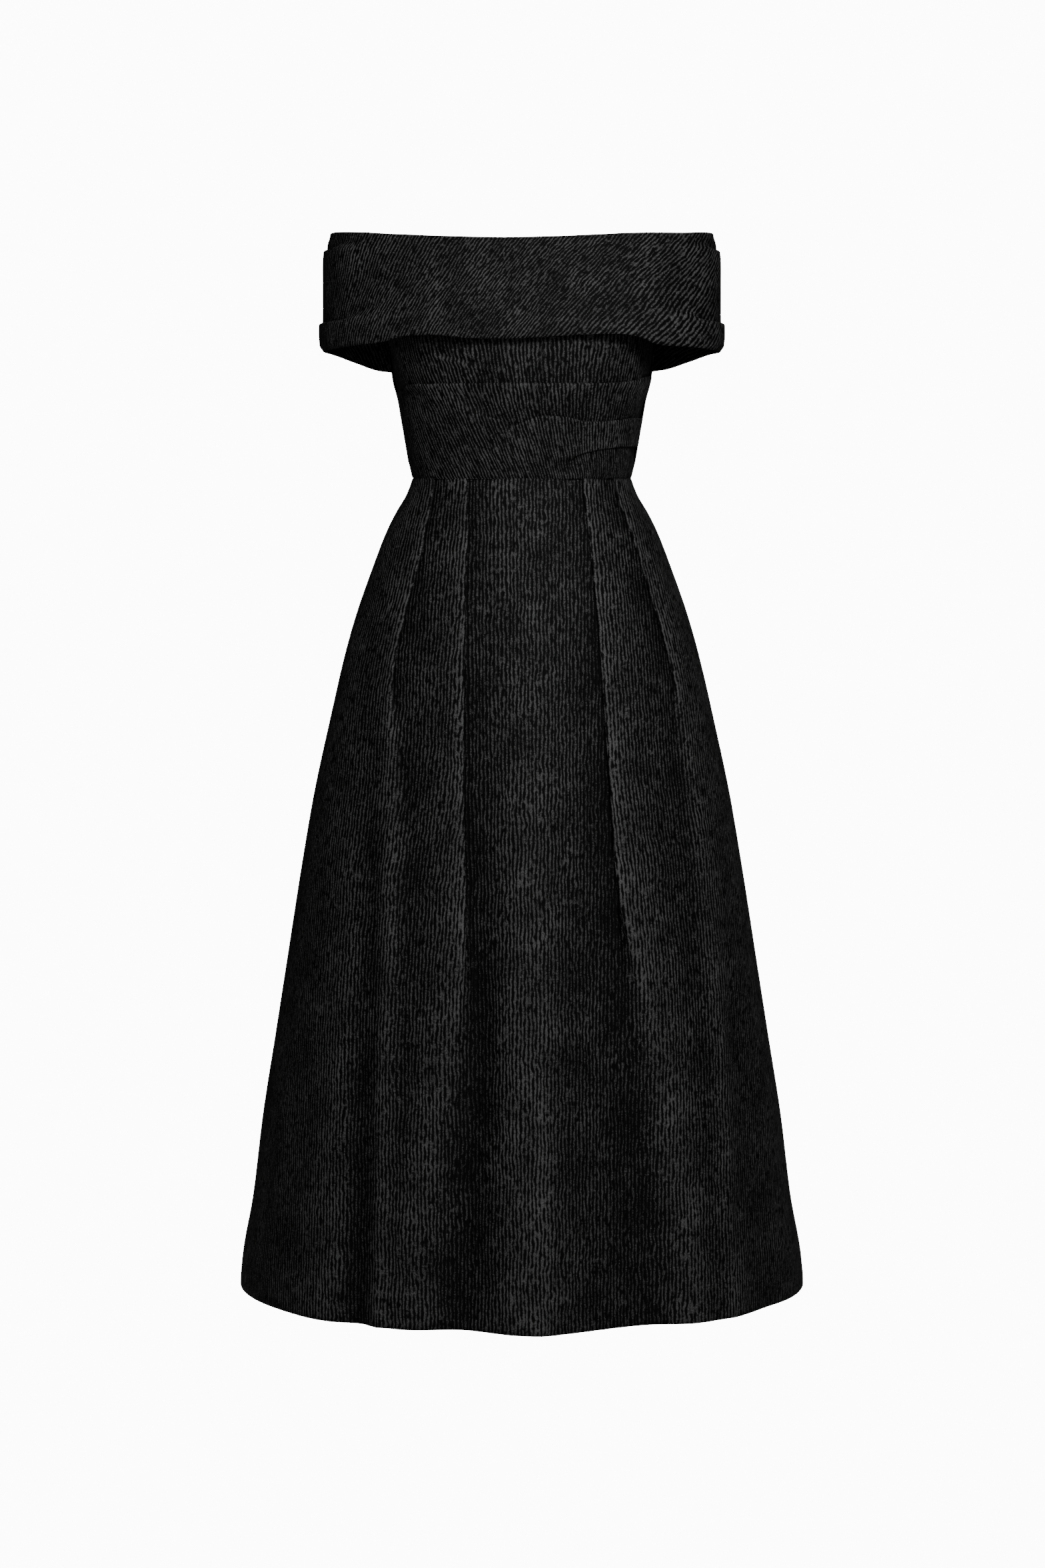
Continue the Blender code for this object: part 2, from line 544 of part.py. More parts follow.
def build():
    clear_scene()
    group = bpy.data.collections.new("off_shoulder_dress")
    bpy.context.scene.collection.children.link(group)
    cloth_object("skirt_front", skirt_front_points(), CLOTH_WALL, CLOTH_COLOUR, group)
    cloth_object("bodice_front", bodice_front_points(), CLOTH_WALL, CLOTH_COLOUR, group)
    for name, side in (("left", 1), ("right", -1)):
        cloth_object(f"skirt_back_{name}", skirt_back_points(side), CLOTH_WALL, CLOTH_COLOUR, group)
        cloth_object(f"bodice_back_{name}", bodice_back_points(side), CLOTH_WALL, CLOTH_COLOUR, group)
    cloth_object("collar_front", band_points(BAND_FRONT_EDGES, -1), BAND_WALL, CLOTH_COLOUR, group)
    cloth_object("collar_back", band_points(BAND_BACK_EDGES, 1), BAND_WALL, CLOTH_COLOUR, group)
    cloth_object("back_zip", zip_points(), ZIP_WALL, ZIP_COLOUR, group)


build()
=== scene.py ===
import math
from collections import namedtuple

import bpy
import numpy as np
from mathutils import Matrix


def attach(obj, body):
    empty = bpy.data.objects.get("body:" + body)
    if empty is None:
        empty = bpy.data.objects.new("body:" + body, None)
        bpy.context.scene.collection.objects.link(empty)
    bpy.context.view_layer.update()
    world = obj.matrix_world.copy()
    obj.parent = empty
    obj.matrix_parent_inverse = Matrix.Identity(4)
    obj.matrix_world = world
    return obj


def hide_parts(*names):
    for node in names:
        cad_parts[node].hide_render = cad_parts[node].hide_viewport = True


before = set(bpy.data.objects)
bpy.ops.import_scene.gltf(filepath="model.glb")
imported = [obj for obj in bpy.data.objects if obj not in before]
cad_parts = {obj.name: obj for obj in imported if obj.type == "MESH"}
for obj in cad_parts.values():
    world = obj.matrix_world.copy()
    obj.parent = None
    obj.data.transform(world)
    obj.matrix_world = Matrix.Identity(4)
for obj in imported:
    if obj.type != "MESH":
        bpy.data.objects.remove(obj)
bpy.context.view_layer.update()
print("frame loaded")

studio = {
    "cameraPlace": (0.0007, -3.75, 0.0),
    "cameraPitch": 84.99,          # degrees from straight down, so 5 degrees below level
    "cameraLens": 80.02,
    "sensorWidth": 36,
    "floorHeight": -1.15,
    "floorHalf": 9.0,
    "floorColour": (0.8, 0.8, 0.8, 1),
    "white": (1, 1, 1, 1),
    "backdropWhite": 12.0,
    "roomLight": 0.05,
}

cloth = {
    "wall": 0.0012,
    "bandWall": 0.0014,
    "seamGap": 0.0003,
    "seamReach": 0.004,
    "seamDepth": 0.0014,
    "seamLap": 0.0005,             # the bodice's edge goes this far behind the skirt's
    "skirtRows": 170,
    "seamRows": (0, 0.25, 0.5, 0.75),   # shares of seamReach
    "rowSpread": 0.2,
    "rowGrowth": 1.8,
    "slopeLength": 1.03,           # metres of cloth down the flare for each metre of height
    "waveGrowth": 0.7,
    "spans": {"centre": 34, "between": 24, "side": 30},
    "bodiceColumns": 150,
    "bodiceLevel": 0.09,           # the height at which the bodice's columns are laid out
    "bodiceSpans": {"waist": 18, "lower": 22, "middle": 20, "top": 80},
    "bodiceBackCount": 60,
    "bodiceBackLevel": 0.15,
    "bodiceBackGrowth": 1.3,
    "creaseFade": 0.15,            # share of a crease's length over which each end fades
    "bandColumns": 230,
    "bandLevel": 0.2,
    "bandSpans": {"foot": 9, "middle": 26, "top": 7},
    "bandTopShare": 0.5,           # of the upper tuck's depth, left at the band's top edge
    "topPaintedShading": 0.5,               # how much of the fold shading the bodice and the band take
    "turnNodes": 5,
    "halvings": 34,
}

Ring = namedtuple("Ring", "height halfWidth frontDepth backDepth squareness")
skirtRings = [
    Ring(0.000, 0.1175, 0.0885, 0.0875, 2.15),
    Ring(-0.016, 0.1226, 0.0925, 0.0920, 2.15),
    Ring(-0.037, 0.1348, 0.0985, 0.0990, 2.10),
    Ring(-0.058, 0.1452, 0.1050, 0.1060, 2.10),
    Ring(-0.101, 0.1619, 0.1160, 0.1190, 2.10),
    Ring(-0.144, 0.1771, 0.1265, 0.1300, 2.10),
    Ring(-0.187, 0.1895, 0.1360, 0.1400, 2.10),
    Ring(-0.252, 0.2048, 0.1490, 0.1520, 2.05),
    Ring(-0.339, 0.2240, 0.1640, 0.1660, 2.00),
    Ring(-0.426, 0.2392, 0.1780, 0.1790, 2.00),
    Ring(-0.513, 0.2531, 0.1920, 0.1925, 2.00),
    Ring(-0.600, 0.2670, 0.2050, 0.2055, 2.00),
    Ring(-0.689, 0.2813, 0.2190, 0.2190, 2.00),
    Ring(-0.777, 0.2924, 0.2320, 0.2320, 2.00),
    Ring(-0.843, 0.3042, 0.2420, 0.2420, 2.00),
    Ring(-0.873, 0.3066, 0.2460, 0.2460, 2.00),
]
bodiceRings = [
    Ring(0.000, 0.1175, 0.0885, 0.0875, 2.15),
    Ring(0.020, 0.1215, 0.0925, 0.0890, 2.20),
    Ring(0.042, 0.1252, 0.0975, 0.0905, 2.25),
    Ring(0.063, 0.1288, 0.1030, 0.0920, 2.30),
    Ring(0.084, 0.1325, 0.1085, 0.0940, 2.35),
    Ring(0.106, 0.1380, 0.1140, 0.0960, 2.45),
    Ring(0.140, 0.1410, 0.1180, 0.0985, 2.70),
    Ring(0.175, 0.1415, 0.1190, 0.1008, 3.00),
    Ring(0.207, 0.1400, 0.1190, 0.1012, 3.20),
]
bandRings = [
    Ring(0.112, 0.2080, 0.1290, 0.1150, 2.40),
    Ring(0.134, 0.2110, 0.1295, 0.1140, 2.40),
    Ring(0.141, 0.2152, 0.1295, 0.1130, 2.40),
    Ring(0.155, 0.2160, 0.1290, 0.1110, 2.40),
    Ring(0.170, 0.2152, 0.1275, 0.1080, 2.40),
    Ring(0.190, 0.2140, 0.1245, 0.1032, 2.40),
    Ring(0.207, 0.2128, 0.1205, 0.1026, 2.40),
    Ring(0.233, 0.2112, 0.1195, 0.1024, 2.40),
    Ring(0.245, 0.2095, 0.1190, 0.1022, 2.40),
    Ring(0.259, 0.2050, 0.1180, 0.1020, 2.40),
]


def smoothThrough(at, knots, values):
    # cubic between knots, with each knot's slope the harmonic mean of the slopes beside it
    order = np.argsort(knots)
    knots = np.asarray(knots, float)[order]
    values = np.asarray(values, float)[order]
    steps = np.diff(knots)
    slopes = np.diff(values) / steps
    product = slopes[:-1] * slopes[1:]
    total = slopes[:-1] + slopes[1:]
    tangents = np.zeros(len(knots))
    tangents[1:-1] = np.where(product > 0, 2 * product / np.where(total == 0, 1, total), 0)
    at = np.clip(at, knots[0], knots[-1])
    cell = np.clip(np.searchsorted(knots, at, side="right") - 1, 0, len(steps) - 1)
    step = steps[cell]
    t = (at - knots[cell]) / step
    level = values[cell] * (2 * t**3 - 3 * t**2 + 1) + values[cell + 1] * (3 * t**2 - 2 * t**3)
    return level + step * (tangents[cell] * (t**3 - 2 * t**2 + t) + tangents[cell + 1] * (t**3 - t**2))


def readTable(rows, key, at):
    kind = type(rows[0])
    knots = [getattr(row, key) for row in rows]
    return kind(*[smoothThrough(at, knots, [getattr(row, name) for row in rows]) for name in kind._fields])


def ringPoints(rings, height, angle, facing):
    # x = r sin a, y = facing r cos a, with r = ((|sin a| / halfWidth)^n + (|cos a| / depth)^n)^(-1/n)
    ring = readTable(rings, "height", height)
    depth = ring.frontDepth if facing < 0 else ring.backDepth
    across = np.abs(np.sin(angle)) / ring.halfWidth
    along = np.abs(np.cos(angle)) / depth
    radius = (across**ring.squareness + along**ring.squareness) ** (-1 / ring.squareness)
    return radius * np.sin(angle), facing * radius * np.cos(angle)


def ringFrame(rings, height, angle, facing):
    # the ring's point, its outward direction (-facing y', facing x') / speed, and the speed |(x', y')|, where
    # x' and y' are the point's slopes in the angle
    small = 1e-4
    x, y = ringPoints(rings, height, angle, facing)
    xBefore, yBefore = ringPoints(rings, height, angle - small, facing)
    xAfter, yAfter = ringPoints(rings, height, angle + small, facing)
    dx = (xAfter - xBefore) / (2 * small)
    dy = (yAfter - yBefore) / (2 * small)
    speed = np.hypot(dx, dy)
    return x, y, -facing * dy / speed, facing * dx / speed, speed


def angleAt(rings, height, x, facing):
    # the angle whose x is the one asked, by halving the interval
    low = np.full(np.shape(x), -math.pi / 2)
    high = np.full(np.shape(x), math.pi / 2)
    for _ in range(cloth["halvings"]):
        middle = (low + high) / 2
        short = ringPoints(rings, height, middle, facing)[0] < x
        low = np.where(short, middle, low)
        high = np.where(short, high, middle)
    return (low + high) / 2


def place(rings, height, angle, depth, facing):
    # the ring's point plus depth times its outward direction
    height = np.broadcast_to(height, np.broadcast_shapes(np.shape(angle), np.shape(height)))
    angle = np.broadcast_to(angle, height.shape)
    x, y, outX, outY, _ = ringFrame(rings, height, angle, facing)
    return np.stack([x + outX * depth, y + outY * depth, height], axis=-1)


def foldNodes(overlap, run, depth, opened):
    # pressed: two half circles of radius depth / 4 joined by the return layer; opened: depth (1 - cos pi t) / 2
    turn = depth / 4
    arc = np.linspace(0, math.pi, cloth["turnNodes"])
    pressedBack = np.concatenate([turn - turn * np.sin(arc), overlap - turn + turn * np.sin(arc)], axis=-1)
    pressedDeep = np.concatenate([turn - turn * np.cos(arc), 3 * turn - turn * np.cos(arc)], axis=-1)
    t = np.linspace(0, 1, 2 * len(arc))
    openBack = -run * t
    openDeep = depth * (1 - np.cos(math.pi * t)) / 2
    return pressedBack + (openBack - pressedBack) * opened, -(pressedDeep + (openDeep - pressedDeep) * opened)


def span(start, end, count):
    # place runs evenly from start to end while depth eases as 3 t^2 - 2 t^3
    t = np.arange(1, count + 1) / (count + 1)
    ease = t * t * (3 - 2 * t)
    return start[0] + (end[0] - start[0]) * t, start[1] + (end[1] - start[1]) * ease


def joined(parts):
    rows = max(np.shape(part[0])[0] for part in parts)
    return tuple(np.concatenate([np.broadcast_to(part[i], (rows, np.shape(part[i])[-1])) for part in parts], axis=1)
                 for i in (0, 1))


def ends(nodes, at):
    # one node of each line: the first with at 0, the last with at -1
    return tuple(part[:, [at]] for part in nodes)


# painted shading for the cloth's colour: painted highlight where the cloth stands out, painted shade in hollows and
# under other layers
paintedShadingLook = {
    "samples": 500,
    "blurs": ((0.006, 0.0014, 0.55), (0.026, 0.0040, 0.75)),   # width, depth at which it is full, strength
    "blurReach": 3,                # in widths
    "under": 0.0008,               # cloth this far under the outermost layer starts to count as hidden
    "hiddenPaintedShade": 1.2,
}


def paintedShadingOf(position, depth):
    # How far each node stands out of its surroundings along a line, kept as painted shading: the cloth's outermost
    # depth at its place, less that depth blurred, at a narrow and a broad width. Cloth under another layer counts
    # as the lowest, as painted shade.
    paintedShading = np.zeros_like(depth)
    for line in range(len(depth)):
        at = position[line]
        deep = depth[line]
        even = np.linspace(at.min(), at.max(), paintedShadingLook["samples"])
        first = np.minimum(at[:-1], at[1:])[:, None]
        last = np.maximum(at[:-1], at[1:])[:, None]
        share = (even - at[:-1, None]) / np.where(at[1:] == at[:-1], 1, at[1:] - at[:-1])[:, None]
        level = deep[:-1, None] + (deep[1:] - deep[:-1])[:, None] * share
        outer = np.where((even >= first) & (even <= last), level, -np.inf).max(axis=0)
        found = np.isfinite(outer)
        outer = np.where(found, outer, np.interp(even, even[found], outer[found]))
        step = even[1] - even[0]
        total = np.zeros_like(even)
        for width, full, strength in paintedShadingLook["blurs"]:
            reach = max(1, int(paintedShadingLook["blurReach"] * width / step))
            kernel = np.exp(-(np.arange(-reach, reach + 1) * step / width) ** 2 / 2)
            padded = np.pad(outer, reach, mode="edge")
            total += strength * np.tanh((outer - np.convolve(padded, kernel / kernel.sum(), "valid")) / full)
        beneath = np.interp(at, even, outer) - deep
        hidden = np.clip((beneath - paintedShadingLook["under"]) / paintedShadingLook["under"], 0, 1)
        paintedShading[line] = np.interp(at, even, total) * (1 - hidden) - paintedShadingLook["hiddenPaintedShade"] * hidden
    return paintedShading


# skirt
PleatAt = namedtuple("PleatAt", "height edgeX overlap run depth opened")
innerLeft = [
    PleatAt(0.000, -0.058, 0.022, 0.020, 0.0034, 0.0),
    PleatAt(-0.050, -0.057, 0.020, 0.020, 0.0036, 0.0),
    PleatAt(-0.150, -0.060, 0.016, 0.020, 0.0050, 0.0),
    PleatAt(-0.300, -0.061, 0.011, 0.022, 0.0070, 0.0),
    PleatAt(-0.420, -0.059, 0.005, 0.026, 0.0090, 0.10),
    PleatAt(-0.520, -0.064, 0.002, 0.034, 0.0110, 0.45),
    PleatAt(-0.620, -0.090, 0.004, 0.046, 0.0130, 0.95),
    PleatAt(-0.700, -0.108, 0.004, 0.056, 0.0140, 1.0),
    PleatAt(-0.873, -0.125, 0.004, 0.064, 0.0150, 1.0),
]
innerRight = [
    PleatAt(0.000, 0.064, 0.022, 0.020, 0.0034, 0.0),
    PleatAt(-0.050, 0.070, 0.020, 0.020, 0.0038, 0.0),
    PleatAt(-0.150, 0.080, 0.016, 0.020, 0.0056, 0.0),
    PleatAt(-0.300, 0.091, 0.011, 0.024, 0.0084, 0.0),
    PleatAt(-0.420, 0.101, 0.005, 0.030, 0.0110, 0.12),
    PleatAt(-0.520, 0.126, 0.002, 0.040, 0.0135, 0.55),
    PleatAt(-0.620, 0.157, 0.004, 0.052, 0.0160, 1.0),
    PleatAt(-0.700, 0.171, 0.004, 0.060, 0.0170, 1.0),
    PleatAt(-0.873, 0.190, 0.004, 0.070, 0.0180, 1.0),
]
outerLeft = [
    PleatAt(0.000, -0.094, 0.016, 0.012, 0.0034, 0.0),
    PleatAt(-0.050, -0.101, 0.014, 0.012, 0.0034, 0.0),
    PleatAt(-0.120, -0.117, 0.010, 0.014, 0.0038, 0.0),
    PleatAt(-0.204, -0.136, 0.003, 0.014, 0.0040, 0.10),
    PleatAt(-0.280, -0.142, 0.001, 0.020, 0.0044, 1.0),
    PleatAt(-0.420, -0.146, 0.004, 0.034, 0.0040, 1.0),
    PleatAt(-0.620, -0.156, 0.004, 0.036, 0.0020, 1.0),
    PleatAt(-0.873, -0.186, 0.004, 0.040, 0.0010, 1.0),
]
outerRight = [
    PleatAt(0.000, 0.098, 0.016, 0.012, 0.0034, 0.0),
    PleatAt(-0.050, 0.114, 0.014, 0.012, 0.0036, 0.0),
    PleatAt(-0.120, 0.136, 0.010, 0.014, 0.0042, 0.0),
    PleatAt(-0.204, 0.160, 0.003, 0.014, 0.0042, 0.10),
    PleatAt(-0.280, 0.176, 0.001, 0.020, 0.0044, 1.0),
    PleatAt(-0.420, 0.194, 0.004, 0.028, 0.0036, 1.0),
    PleatAt(-0.620, 0.216, 0.004, 0.030, 0.0018, 1.0),
    PleatAt(-0.873, 0.246, 0.004, 0.034, 0.0010, 1.0),
]
backInner = [
    PleatAt(0.000, 0.060, 0.022, 0.020, 0.0034, 0.0),
    PleatAt(-0.050, 0.064, 0.020, 0.020, 0.0038, 0.0),
    PleatAt(-0.150, 0.072, 0.016, 0.020, 0.0052, 0.0),
    PleatAt(-0.300, 0.080, 0.011, 0.024, 0.0076, 0.0),
    PleatAt(-0.420, 0.087, 0.005, 0.030, 0.0100, 0.12),
    PleatAt(-0.520, 0.103, 0.002, 0.040, 0.0120, 0.55),
    PleatAt(-0.620, 0.128, 0.004, 0.050, 0.0140, 1.0),
    PleatAt(-0.873, 0.156, 0.004, 0.066, 0.0160, 1.0),
]
backOuter = [
    PleatAt(0.000, 0.096, 0.016, 0.012, 0.0034, 0.0),
    PleatAt(-0.050, 0.108, 0.014, 0.012, 0.0036, 0.0),
    PleatAt(-0.120, 0.127, 0.010, 0.014, 0.0040, 0.0),
    PleatAt(-0.204, 0.148, 0.003, 0.014, 0.0042, 0.10),
    PleatAt(-0.280, 0.162, 0.001, 0.020, 0.0048, 1.0),
    PleatAt(-0.620, 0.204, 0.004, 0.034, 0.0060, 1.0),
    PleatAt(-0.873, 0.232, 0.004, 0.040, 0.0070, 1.0),
]
Wave = namedtuple("Wave", "topX hemX width start lift")
frontWaves = [
    Wave(0.012, 0.022, 0.050, -0.120, 0.007),
    Wave(0.016, 0.020, 0.016, -0.040, 0.003),
    Wave(-0.150, -0.168, 0.016, -0.150, -0.004),
    Wave(-0.152, -0.176, 0.013, -0.080, -0.003),
    Wave(-0.128, -0.150, 0.010, -0.080, 0.003),
    Wave(-0.175, -0.215, 0.028, -0.300, 0.004),
    Wave(0.205, 0.262, 0.020, -0.350, -0.004),
    Wave(0.190, 0.222, 0.012, -0.200, 0.003),
]
backWaves = [Wave(0.000, 0.000, 0.050, -0.200, 0.006)]


def waveLift(waves, x, height):
    # each wave is a bell across x, lift g^waveGrowth exp(-((x - centre) / width)^2), with g from 0 at its start
    # to 1 at the hem
    lift = np.zeros(np.broadcast_shapes(np.shape(x), np.shape(height)))
    for wave in waves:
        grown = np.clip((wave.start - height) / (wave.start - skirtRings[-1].height), 0, 1)
        centre = wave.topX + (wave.hemX - wave.topX) * grown
        lift = lift + wave.lift * grown ** cloth["waveGrowth"] * np.exp(-(((x - centre) / wave.width) ** 2))
    return lift


def skirtHalf(inner, outer, height, facing, side, start):
    # from the centre line to the side seam: span, pleat, span, pleat, span
    pleats = []
    for rows in (inner, outer):
        pleat = readTable(rows, "height", height)
        edge = angleAt(skirtRings, height, np.abs(pleat.edgeX), facing)
        speed = ringFrame(skirtRings, height, edge, facing)[4]
        back, deep = foldNodes(pleat.overlap, pleat.run, pleat.depth, pleat.opened)
        pleats.append((edge + back[:, ::-1] / speed, deep[:, ::-1]))
    sideSpeed = ringFrame(skirtRings, height, np.full_like(height, math.pi / 2), facing)[4]
    seam = (math.pi / 2 - cloth["seamGap"] / 2 / sideSpeed, np.zeros_like(height))
    first = (start, np.zeros_like(height))
    spans = cloth["spans"]
    angle, depth = joined([
        first,
        span(first, ends(pleats[0], 0), spans["centre"]),
        pleats[0],
        span(ends(pleats[0], -1), ends(pleats[1], 0), spans["between"]),
        pleats[1],
        span(ends(pleats[1], -1), seam, spans["side"]),
        seam,
    ])
    return angle * side, depth


def skirtHeights():
    # a few close rows at the seam, then rows that open out towards the hem
    t = np.linspace(0, 1, cloth["skirtRows"])
    spread = (1 - cloth["rowSpread"]) * t + cloth["rowSpread"] * t ** cloth["rowGrowth"]
    below = cloth["seamReach"] + (-skirtRings[-1].height - cloth["seamReach"]) * spread
    return -np.concatenate([cloth["seamReach"] * np.array(cloth["seamRows"]), below])[:, None]


def seamGroove(height, lap):
    # how far the cloth turns in at the waist seam: seamDepth (1 - t)^2, with t the height's share of seamReach
    t = np.clip((np.abs(height) - lap) / cloth["seamReach"], 0, 1)
    return -cloth["seamDepth"] * (1 - t) ** 2


def alongRows(points, centre):
    # distance along each level through the folds, from the column given as centre
    steps = np.linalg.norm(np.diff(points, axis=1), axis=2)
    travelled = np.concatenate([np.zeros((len(points), 1)), np.cumsum(steps, axis=1)], axis=1)
    return travelled - travelled[:, centre:centre + 1]


def skirtCoordinates(along, height):
    return np.stack([along, np.broadcast_to(height * cloth["slopeLength"], along.shape)], axis=-1)


def skirtSurface(height, angle, depth, facing, waves):
    x, _ = ringPoints(skirtRings, height, angle, facing)
    return place(skirtRings, height, angle, depth + waveLift(waves, x, height) + seamGroove(height, 0), facing)


def skirtFront():
    height = skirtHeights()
    middle = np.zeros_like(height)
    rightAngle, rightDepth = skirtHalf(innerRight, outerRight, height, -1, 1, middle)
    leftAngle, leftDepth = skirtHalf(innerLeft, outerLeft, height, -1, -1, middle)
    angle = np.concatenate([leftAngle[:, :0:-1], rightAngle], axis=1)
    depth = np.concatenate([leftDepth[:, :0:-1], rightDepth], axis=1)
    points = skirtSurface(height, angle, depth, -1, frontWaves)
    along = alongRows(points, leftAngle.shape[1] - 1)
    return points, skirtCoordinates(along, height), skirtPaintedShading(height, angle, depth, -1, frontWaves)


def skirtPaintedShading(height, angle, depth, facing, waves):
    ring = readTable(skirtRings, "height", height)
    x, _ = ringPoints(skirtRings, height, angle, facing)
    reach = (ring.halfWidth + (ring.frontDepth if facing < 0 else ring.backDepth)) / 2
    return paintedShadingOf(angle * reach, depth + waveLift(waves, x, height))


def skirtBack(side):
    height = skirtHeights()
    speed = ringFrame(skirtRings, height, np.zeros_like(height), 1)[4]
    angle, depth = skirtHalf(backInner, backOuter, height, 1, side, cloth["seamGap"] / 2 / speed)
    points = skirtSurface(height, angle, depth, 1, backWaves)
    along = alongRows(points, 0) * side
    return points, skirtCoordinates(along, height), skirtPaintedShading(height, angle, depth, 1, backWaves)


# bodice and band
TuckAt = namedtuple("TuckAt", "x edgeHeight overlap run depth opened")
bodiceUpperTuck = [
    TuckAt(-0.140, 0.0880, 0.006, 0.012, 0.0034, 0.0),
    TuckAt(-0.129, 0.0915, 0.007, 0.012, 0.0034, 0.0),
    TuckAt(-0.116, 0.0975, 0.008, 0.012, 0.0034, 0.0),
    TuckAt(-0.076, 0.0980, 0.008, 0.012, 0.0034, 0.0),
    TuckAt(0.080, 0.0984, 0.008, 0.012, 0.0034, 0.0),
    TuckAt(0.108, 0.1006, 0.008, 0.012, 0.0034, 0.0),
    TuckAt(0.140, 0.1090, 0.008, 0.012, 0.0034, 0.0),
]
bodiceLowerTuck = [
    TuckAt(-0.140, 0.0680, 0.005, 0.016, 0.0004, 1.0),
    TuckAt(-0.070, 0.0655, 0.005, 0.014, 0.0010, 1.0),
    TuckAt(-0.048, 0.0640, 0.005, 0.010, 0.0034, 1.0),
    TuckAt(-0.024, 0.0605, 0.006, 0.008, 0.0034, 0.0),
    TuckAt(-0.010, 0.0545, 0.006, 0.010, 0.0034, 0.0),
    TuckAt(0.001, 0.0580, 0.006, 0.010, 0.0034, 0.0),
    TuckAt(0.024, 0.0648, 0.006, 0.010, 0.0034, 0.0),
    TuckAt(0.049, 0.0634, 0.006, 0.010, 0.0034, 0.0),
    TuckAt(0.075, 0.0586, 0.006, 0.010, 0.0034, 0.0),
    TuckAt(0.099, 0.0596, 0.006, 0.010, 0.0036, 0.0),
    TuckAt(0.130, 0.0633, 0.006, 0.010, 0.0040, 0.0),
]
bodiceBandFoot = [
    TuckAt(-0.140, 0.0200, 0.005, 0.012, 0.0002, 1.0),
    TuckAt(0.030, 0.0220, 0.005, 0.012, 0.0010, 1.0),
    TuckAt(0.060, 0.0245, 0.005, 0.008, 0.0034, 1.0),
    TuckAt(0.080, 0.0275, 0.006, 0.008, 0.0034, 0.0),
    TuckAt(0.099, 0.0312, 0.006, 0.008, 0.0036, 0.0),
    TuckAt(0.130, 0.0340, 0.006, 0.008, 0.0040, 0.0),
]
bandLowerTuck = [
    TuckAt(-0.216, 0.1632, 0.008, 0.008, 0.0038, 0.0),
    TuckAt(-0.190, 0.1645, 0.006, 0.008, 0.0038, 0.0),
    TuckAt(-0.168, 0.1665, 0.005, 0.008, 0.0038, 1.0),
    TuckAt(-0.135, 0.1690, 0.005, 0.014, 0.0010, 1.0),
    TuckAt(0.000, 0.1700, 0.005, 0.016, 0.0, 1.0),
    TuckAt(0.140, 0.1680, 0.005, 0.014, 0.0008, 1.0),
    TuckAt(0.172, 0.1660, 0.005, 0.008, 0.0038, 1.0),
    TuckAt(0.192, 0.1645, 0.006, 0.008, 0.0038, 0.0),
    TuckAt(0.216, 0.1632, 0.008, 0.008, 0.0038, 0.0),
]
bandUpperTuck = [
    TuckAt(-0.216, 0.2400, 0.006, 0.006, 0.0038, 0.0),
    TuckAt(-0.209, 0.2400, 0.005, 0.006, 0.0038, 0.0),
    TuckAt(-0.198, 0.2400, 0.005, 0.006, 0.0038, 1.0),
    TuckAt(-0.165, 0.2370, 0.005, 0.009, 0.0006, 1.0),
    TuckAt(0.000, 0.2300, 0.005, 0.009, 0.0, 1.0),
    TuckAt(0.170, 0.2370, 0.005, 0.009, 0.0006, 1.0),
    TuckAt(0.199, 0.2400, 0.005, 0.006, 0.0038, 1.0),
    TuckAt(0.209, 0.2400, 0.005, 0.006, 0.0038, 0.0),
    TuckAt(0.216, 0.2400, 0.006, 0.006, 0.0038, 0.0),
]
Edge = namedtuple("Edge", "x lower upper")
bandFrontEdges = [
    Edge(-0.2165, 0.1350, 0.2585),
    Edge(-0.171, 0.1380, 0.2555),
    Edge(-0.139, 0.1412, 0.2528),
    Edge(-0.118, 0.1466, 0.2515),
    Edge(-0.090, 0.1480, 0.2500),
    Edge(-0.047, 0.1441, 0.2485),
    Edge(-0.019, 0.1437, 0.2480),
    Edge(0.036, 0.1463, 0.2492),
    Edge(0.065, 0.1483, 0.2505),
    Edge(0.093, 0.1490, 0.2520),
    Edge(0.107, 0.1480, 0.2530),
    Edge(0.122, 0.1440, 0.2536),
    Edge(0.133, 0.1392, 0.2540),
    Edge(0.150, 0.1373, 0.2545),
    Edge(0.173, 0.1368, 0.2553),
    Edge(0.2165, 0.1345, 0.2585),
]
bandBackEdges = [
    Edge(-0.2165, 0.1350, 0.2585),
    Edge(-0.208, 0.1338, 0.2570),
    Edge(-0.177, 0.1250, 0.2530),
    Edge(-0.146, 0.1165, 0.2500),
    Edge(-0.090, 0.1130, 0.2460),
    Edge(0.000, 0.1120, 0.2440),
    Edge(0.090, 0.1135, 0.2460),
    Edge(0.146, 0.1178, 0.2500),
    Edge(0.178, 0.1262, 0.2530),
    Edge(0.208, 0.1340, 0.2570),
    Edge(0.2165, 0.1345, 0.2585),
]
bodiceTop = {
    "underarm": 0.172, "front": 0.205, "back": 0.195, "curveFromX": 0.100, "halfWidth": 0.1415, "fall": 1.5,
}


def tuck(rows, x, edgeFacesUp):
    # the heights and depths of a tuck's nodes, in order upwards, for every column at once
    at = readTable(rows, "x", x)
    back, deep = foldNodes(at.overlap, at.run, at.depth, at.opened)
    if edgeFacesUp:
        return at.edgeHeight - back, deep
    return (at.edgeHeight + back)[:, ::-1], deep[:, ::-1]


def sideAngles(count, rings, height, facing):
    speed = ringFrame(rings, np.array([height]), np.array([math.pi / 2]), facing)[4][0]
    end = math.pi / 2 - cloth["seamGap"] / 2 / speed
    return np.linspace(-end, end, count)[:, None]


def bodiceTopAt(x, facing):
    # level across the body, then falling towards the underarm as t^fall
    top = bodiceTop["front"] if facing < 0 else bodiceTop["back"]
    past = (np.abs(x) - bodiceTop["curveFromX"]) / (bodiceTop["halfWidth"] - bodiceTop["curveFromX"])
    return top + (bodiceTop["underarm"] - top) * np.clip(past, 0, 1) ** bodiceTop["fall"]


